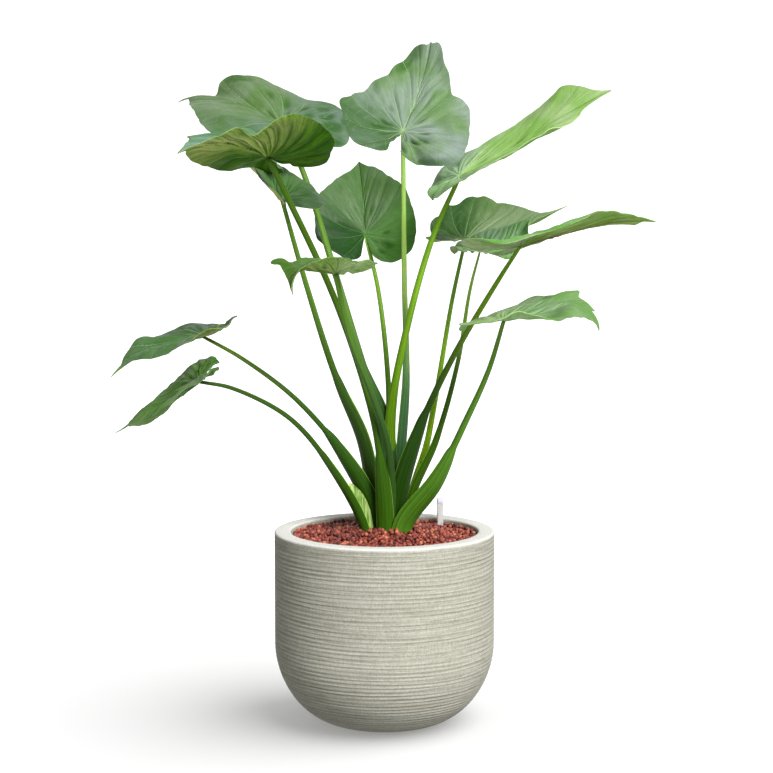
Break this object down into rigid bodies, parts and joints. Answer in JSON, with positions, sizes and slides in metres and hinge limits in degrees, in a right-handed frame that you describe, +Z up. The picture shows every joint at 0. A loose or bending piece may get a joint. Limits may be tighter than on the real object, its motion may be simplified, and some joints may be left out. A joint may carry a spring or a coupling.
{
  "type": "potted hooded dwarf elephant ear",
  "caption": "Foliage house plant with upright heart-shaped leaves on long sheathed stalks, rooted in clay granules in a round ridged planter with a flat water-level indicator.",
  "frame": {"origin": "centre of the planter's flat base, on the floor", "axes": "+Z up along the planter's axis, -Y towards the front, where the picture was taken from, +X to the right"},
  "size_m": [0.6556, 0.4177, 0.865],
  "materials": {
    "planter": "matte",
    "granules": "matte",
    "rootstock": "matte",
    "stalk": "satin",
    "scale_leaf": "satin",
    "blade": "satin",
    "gauge": "gloss",
    "gauge_cap": "satin",
    "float": "satin"
  },
  "bodies": {
    "root": {"pot": "planter", "granules": "granules", "rootstock": "rootstock", "scale_leaf": "scale_leaf", "stalk_a": "stalk", "stalk_b": "stalk", "stalk_c": "stalk", "stalk_d": "stalk", "stalk_e": "stalk", "stalk_f": "stalk", "stalk_g": "stalk", "stalk_h": "stalk", "stalk_i": "stalk", "stalk_j": "stalk", "stalk_k": "stalk", "stalk_l": "stalk", "stalk_m": "stalk", "blade_a": "blade", "blade_b": "blade", "blade_c": "blade", "blade_d": "blade", "blade_e": "blade", "blade_f": "blade", "blade_g": "blade", "blade_h": "blade", "blade_i": "blade", "blade_j": "blade", "blade_k": "blade", "blade_l": "blade", "blade_m": "blade", "indicator_tube": "gauge", "indicator_float": "float", "indicator_cap": "gauge_cap"}
  },
  "joints": []
}
